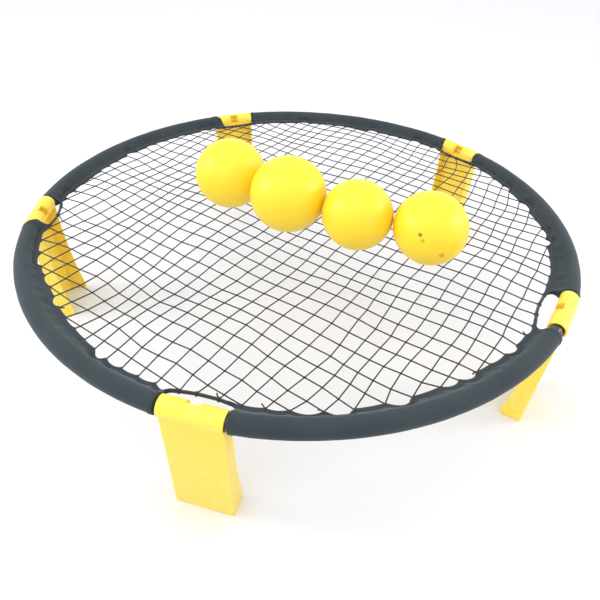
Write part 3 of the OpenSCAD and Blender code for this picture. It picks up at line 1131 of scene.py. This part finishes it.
def leg_copy(k, settings):
    """The leg's own shape with its corners rounded: small on the outside, larger in the inner corners."""
    source = frame["nodes"][f"leg_{k}"]
    bm = bmesh.new()
    bm.from_mesh(source.data)
    bmesh.ops.remove_doubles(bm, verts=bm.verts, dist=2e-6)
    bmesh.ops.dissolve_limit(bm, angle_limit=math.radians(0.6), verts=bm.verts, edges=bm.edges)
    weight = bm.edges.layers.float.new("bevel_weight_edge")
    share = settings.edge_radius / settings.fillet_radius
    for edge in bm.edges:
        if edge.is_manifold:
            fold = edge.calc_face_angle_signed(0.0)
            if abs(fold) > math.radians(28):
                edge[weight] = share if fold > 0 else 1.0
    mesh = bpy.data.meshes.new(f"moulded_leg_{k}")
    bm.to_mesh(mesh)
    bm.free()
    smooth(mesh)
    obj = put(f"moulded_leg_{k}", mesh)
    rounding = obj.modifiers.new("rounding", "BEVEL")
    rounding.limit_method = "WEIGHT"
    rounding.width = settings.fillet_radius
    rounding.segments = 3
    rounding.use_clamp_overlap = True
    plain_mesh(obj)
    smooth(obj.data, 38)
    return obj


def mark_pale_edges_and_groove_shade(mesh, k):
    """Marks the leg's upright edges and foot, paler as wear and as a painted highlight, and the finger groove, darker
    as painted shade.
    """
    angle = LEG_ANGLE[k - 1]
    points = points_of(mesh) - np.array(LEG_POS[k - 1])
    # Edges and foot that the material paints paler, as wear and as a painted highlight along the rim.
    along = np.abs(points @ np.array([-math.sin(angle), math.cos(angle), 0.0]))
    near_side = np.clip(1 - (along.max() - along) / 0.004, 0, 1)
    near_foot = np.clip(1 - (points[:, 2] + RIM_Z) / 0.005, 0, 1)
    mark(mesh, "rubbed", np.maximum(near_side, near_foot))
    # The finger groove, which the material darkens as painted shade.
    outward = points @ np.array([math.cos(angle), math.sin(angle), 0.0])
    from_axis = np.hypot(outward, points[:, 2])
    barrel = from_axis[points[:, 2] > 0].max()
    mark(mesh, "deep", (from_axis < barrel - 0.9 * MM) & (along < 0.011) & (outward < 0) & (points[:, 2] > -barrel))


def valve_way(k):
    """Direction from a ball's middle to its valve."""
    points = node_points(f"ball_valve_{k}")
    return (Vector(points.mean(axis=0)) - BALLS[k - 1][0]).normalized()


def ball_mesh(k, settings):
    """A hollow ball turned about the line to its valve, with a raised ring round the hole and a faint parting line."""
    centre, radius = BALLS[k - 1]
    hole, within = settings.valve_hole, radius - settings.wall
    turn = math.asin(hole / radius)
    outline = [(turn, radius - 0.25 * MM)]
    while turn < math.pi - 1e-6:
        far = turn * radius
        from_line = abs(far - math.pi / 2 * radius)
        ring = math.exp(-(((far - 6.2 * MM) / (1.1 * MM)) ** 2))
        sunk = math.exp(-(((far - hole) / (1.3 * MM)) ** 2))
        line = math.exp(-((from_line / (0.45 * MM)) ** 2))
        outline.append((turn, radius + settings.valve_ring * (ring - sunk) + 0.05 * MM * line))
        if far < 10 * MM:
            step = 0.45 * MM
        elif from_line < 1.6 * MM:
            step = 0.4 * MM
        else:
            step = min(3.4 * MM, max(0.6 * MM, from_line * 0.6))
        turn += step / radius
    turn = math.asin(hole / within)
    inner = [(turn, within)] + [(a, within) for a in np.linspace(turn + 0.06, math.pi - 0.06, 26)]
    sides, points, faces = 96, [], []
    for shell, end, outside in ((outline, radius, True), (inner, within, False)):
        first, last = len(points), len(points) + (len(shell) - 1) * sides
        for turn, reach in shell:
            out, up = reach * math.sin(turn), reach * math.cos(turn)
            points += [(out * x, out * y, up) for x, y in circle(sides)]
        pole = len(points)
        points.append((0, 0, -end))
        faces += ring_faces(len(shell), sides, first, flip=outside)
        for m in range(sides):
            after = (m + 1) % sides
            faces.append((last + m, pole, last + after) if outside else (last + m, last + after, pole))
            if not outside:
                faces.append((m, after, first + after, first + m))
    mesh = mesh_of(f"rubber_ball_{k}", points, faces)
    mesh.transform(Matrix.Translation(centre) @ valve_way(k).to_track_quat("Z", "Y").to_matrix().to_4x4())
    smooth(mesh, 60)
    return mesh


# ---------------------------------------------------------------- operators


class ROUNDNET_OT_rim_tubes(bpy.types.Operator):
    """Gives the five bent rim tubes their glossy black plastic"""

    bl_idname = "roundnet.rim_tubes"
    bl_label = "Rim Tubes"

    def execute(self, context):
        plastic = tube_plastic()
        for k in LEGS:
            dress(frame["nodes"][f"rim_tube_{k}"], plastic)
        return {"FINISHED"}


class ROUNDNET_OT_legs(bpy.types.Operator):
    """Makes the five moulded legs with rounded edges"""

    bl_idname = "roundnet.legs"
    bl_label = "Legs"

    def execute(self, context):
        settings = context.scene.roundnet_leg
        plastic = leg_plastic(settings.plastic_colour)
        for k in LEGS:
            leg = leg_copy(k, settings)
            mark_pale_edges_and_groove_shade(leg.data, k)
            dress(leg, plastic)
            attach(leg, f"leg_{k}")
            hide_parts(f"leg_{k}")
        return {"FINISHED"}


class ROUNDNET_OT_covers(bpy.types.Operator):
    """Makes the five padded cover panels and their stitching"""

    bl_idname = "roundnet.covers"
    bl_label = "Cover Panels"

    def execute(self, context):
        settings = context.scene.roundnet_cover
        plan = net_plan()
        fabric = cover_fabric(settings.fabric_colour)
        thread = thread_material("cover_thread", settings.thread_colour, 2600.0)
        tree = stitch_tree(thread)
        shape = stitch_shape(3.4 * MM, 0.42 * MM)
        for k in LEGS:
            panel = PanelShape(k, plan, settings)
            cover = dress(put(f"fabric_cover_{k}", panel.mesh()), fabric)
            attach(cover, "ring")
            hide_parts(f"cover_panel_{k}")
            points, edges = panel.seams()
            stitches = put(f"cover_stitching_{k}", mesh_of(f"cover_stitching_{k}", points, edges=edges))
            tree.grow(stitches, Shape=shape, Step=settings.stitch_step)
            smooth(stitches.data)
            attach(stitches, "ring")
        bpy.data.objects.remove(shape)
        return {"FINISHED"}


class ROUNDNET_OT_net(bpy.types.Operator):
    """Makes the knotted net: its strings, its knots and the turns that tie it to the hem"""

    bl_idname = "roundnet.net"
    bl_label = "Net"

    def execute(self, context):
        settings = context.scene.roundnet_net
        plan = net_plan()
        points, edges, knots, turns = plan.strings()
        string = thread_material("net_string", settings.string_colour, 2400.0)
        strings = put("net_strings", mesh_of("net_strings", points, edges=edges))
        string_tree(string).grow(strings, Radius=settings.string_radius, Sides=6)
        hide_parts("net")

        shape = knot_shape(settings.knot_radius)
        knotted = point_cloud("net_knots", knots, turns)
        scatter_tree("set_knots", string).grow(knotted, Shape=shape, Loose_turn=0.2, Seed=settings.seed)
        bpy.data.objects.remove(shape)

        reach = [(angle, plan.cord_radius(angle)) for angle in plan.ties]
        places = [(radius * math.cos(angle), radius * math.sin(angle), HEM_Z) for angle, radius in reach]
        shape = loop_shape(plan.bead, 0.75 * MM)
        tied = point_cloud("net_ties", places, plan.ties)
        scatter_tree("set_ties", string).grow(
            tied, Shape=shape, Least_size=0.94, Most_size=1.02, Loose_turn=0.12, Seed=settings.seed + 1)
        bpy.data.objects.remove(shape)
        for piece in (strings, knotted, tied):
            smooth(piece.data, 60)
            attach(piece, "ring")
        return {"FINISHED"}


class ROUNDNET_OT_border_cord(bpy.types.Operator):
    """Makes the border cord that runs in the hem and bridges the openings at the legs"""

    bl_idname = "roundnet.border_cord"
    bl_label = "Border Cord"

    def execute(self, context):
        plan = net_plan()
        count, sides = 1080, 10
        points, uv = [], []
        for n in range(count):
            angle = -math.pi + 2 * math.pi * n / count
            radius = plan.cord_radius(angle)
            slope = (plan.cord_radius(angle + 0.002) - plan.cord_radius(angle - 0.002)) / (0.004 * radius)
            for m, (out, up) in enumerate(circle(sides)):
                reach = radius + CORD_R * out
                skew = angle - slope * CORD_R * out / radius
                points.append((reach * math.cos(skew), reach * math.sin(skew), HEM_Z + CORD_R * up))
                uv.append((angle * CORD_RING_R, m / sides))
        mesh = mesh_of("woven_border_cord", points, ring_faces(count, sides, closed=True, flip=True))
        smooth(mesh)
        set_uv(mesh, uv)
        cord = dress(put("woven_border_cord", mesh), cord_material(context.scene.roundnet_net.cord_colour))
        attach(cord, "ring")
        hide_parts("border_cord")
        return {"FINISHED"}


# Ball, direction as the angle from +X and the angle above level, size in metres, strength
SCUFFS_AND_SHADE = [
    (4, -134.6, 10.4, 0.0040, 0.6),
    (4, -103.2, -11.4, 0.0060, 0.6),
    (4, 151.3, 30.2, 0.0032, 0.25),
    # Ball 3's two marks, low on its side, are painted shade near its bottom, not scuffs.
    (3, -106.7, -27.1, 0.0026, 0.3),
    (3, -114.0, -23.1, 0.0022, 0.25),
]


class ROUNDNET_OT_balls(bpy.types.Operator):
    """Makes the four rubber balls and gives their valves brown rubber"""

    bl_idname = "roundnet.balls"
    bl_label = "Balls"

    def execute(self, context):
        settings = context.scene.roundnet_ball
        valve = valve_rubber()
        for k, (centre, radius) in enumerate(BALLS, 1):
            scuffs_and_shade = []
            for ball, around, above, size, depth in SCUFFS_AND_SHADE:
                if ball == k:
                    a, e = math.radians(around), math.radians(above)
                    way = Vector((math.cos(a) * math.cos(e), math.sin(a) * math.cos(e), math.sin(e)))
                    scuffs_and_shade.append((centre + way * radius, size, depth))
            rubber = ball_rubber(f"yellow_ball_rubber_{k}", settings.rubber_colour, scuffs_and_shade)
            ball = dress(put(f"rubber_ball_{k}", ball_mesh(k, settings)), rubber)
            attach(ball, f"ball_{k}")
            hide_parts(f"ball_{k}")
            dress(frame["nodes"][f"ball_valve_{k}"], valve)
        return {"FINISHED"}


class ROUNDNET_OT_stage(bpy.types.Operator):
    """Lays the plain pale floor, sets the soft light and aims the camera"""

    bl_idname = "roundnet.stage"
    bl_label = "Stage"

    def execute(self, context):
        settings = context.scene.roundnet_stage
        scene = context.scene
        scene.view_settings.view_transform = "Standard"
        world = bpy.data.worlds.new("even_studio")
        world.use_nodes = True
        background = world.node_tree.nodes["Background"].inputs
        background["Color"].default_value = (1.0, 1.0, 1.0, 1.0)
        background["Strength"].default_value = settings.world_light
        scene.world = world

        half = settings.floor_size
        corners = [(x * half, y * half, -0.0004) for x, y in ((-1, -1), (1, -1), (1, 1), (-1, 1))]
        floor = put("floor", mesh_of("floor", corners, [(0, 1, 2, 3)]))
        dress(floor, floor_finish(settings.floor_colour))

        lights = [
            ("key_light", (-0.9, -0.5, 2.2), 1.6, settings.key_power),
            ("left_light", (-1.64, 0.45, 1.05), 0.48, settings.side_power),
            ("right_light", (1.63, -0.73, 0.88), 0.48, settings.side_power),
        ]
        for name, place, size, power in lights:
            light = bpy.data.lights.new(name, "AREA")
            light.size, light.energy = size, power
            obj = bpy.data.objects.new(name, light)
            obj.location = place
            obj.rotation_euler = (Vector((0, 0, 0.18)) - Vector(place)).to_track_quat("-Z", "Y").to_euler()
            scene.collection.objects.link(obj)

        lens = bpy.data.cameras.new("studio_camera")
        lens.lens, lens.sensor_width = 34.85, 36.0
        lens.shift_x, lens.shift_y = 0.0015, -0.142
        lens.clip_start, lens.clip_end = 0.01, 50.0
        camera = bpy.data.objects.new("studio_camera", lens)
        place, aim, roll = Vector((-0.3089, -0.7869, 0.7113)), Vector((0, 0, RIM_Z)), math.radians(1.924)
        ahead = (aim - place).normalized()
        right = ahead.cross(Vector((0, 0, 1))).normalized()
        up = right.cross(ahead)
        tilted_right = math.cos(roll) * right + math.sin(roll) * up
        tilted_up = -math.sin(roll) * right + math.cos(roll) * up
        camera.rotation_euler = Matrix((tilted_right, tilted_up, -ahead)).transposed().to_euler()
        camera.location = place
        scene.collection.objects.link(camera)
        scene.camera = camera
        return {"FINISHED"}


STEPS = [
    ROUNDNET_OT_rim_tubes,
    ROUNDNET_OT_legs,
    ROUNDNET_OT_covers,
    ROUNDNET_OT_net,
    ROUNDNET_OT_border_cord,
    ROUNDNET_OT_balls,
    ROUNDNET_OT_stage,
]


class VIEW3D_PT_roundnet(bpy.types.Panel):
    """Lists the steps that dress the roundnet set"""

    bl_label = "Roundnet Set"
    bl_space_type = "VIEW_3D"
    bl_region_type = "UI"
    bl_category = "Roundnet"

    def draw(self, context):
        for step in STEPS:
            self.layout.operator(step.bl_idname)
        for name in SETTINGS:
            box = self.layout.box()
            for key in SETTINGS[name].__annotations__:
                box.prop(getattr(context.scene, name), key)


def register():
    for name, kind in SETTINGS.items():
        bpy.utils.register_class(kind)
        setattr(bpy.types.Scene, name, PointerProperty(type=kind))
    for kind in STEPS + [VIEW3D_PT_roundnet]:
        bpy.utils.register_class(kind)


def unregister():
    for kind in reversed(STEPS + [VIEW3D_PT_roundnet]):
        bpy.utils.unregister_class(kind)
    for name, kind in SETTINGS.items():
        delattr(bpy.types.Scene, name)
        bpy.utils.unregister_class(kind)


def main():
    register()
    for step in STEPS:
        group, name = step.bl_idname.split(".")
        getattr(getattr(bpy.ops, group), name)()


if __name__ == "__main__":
    main()
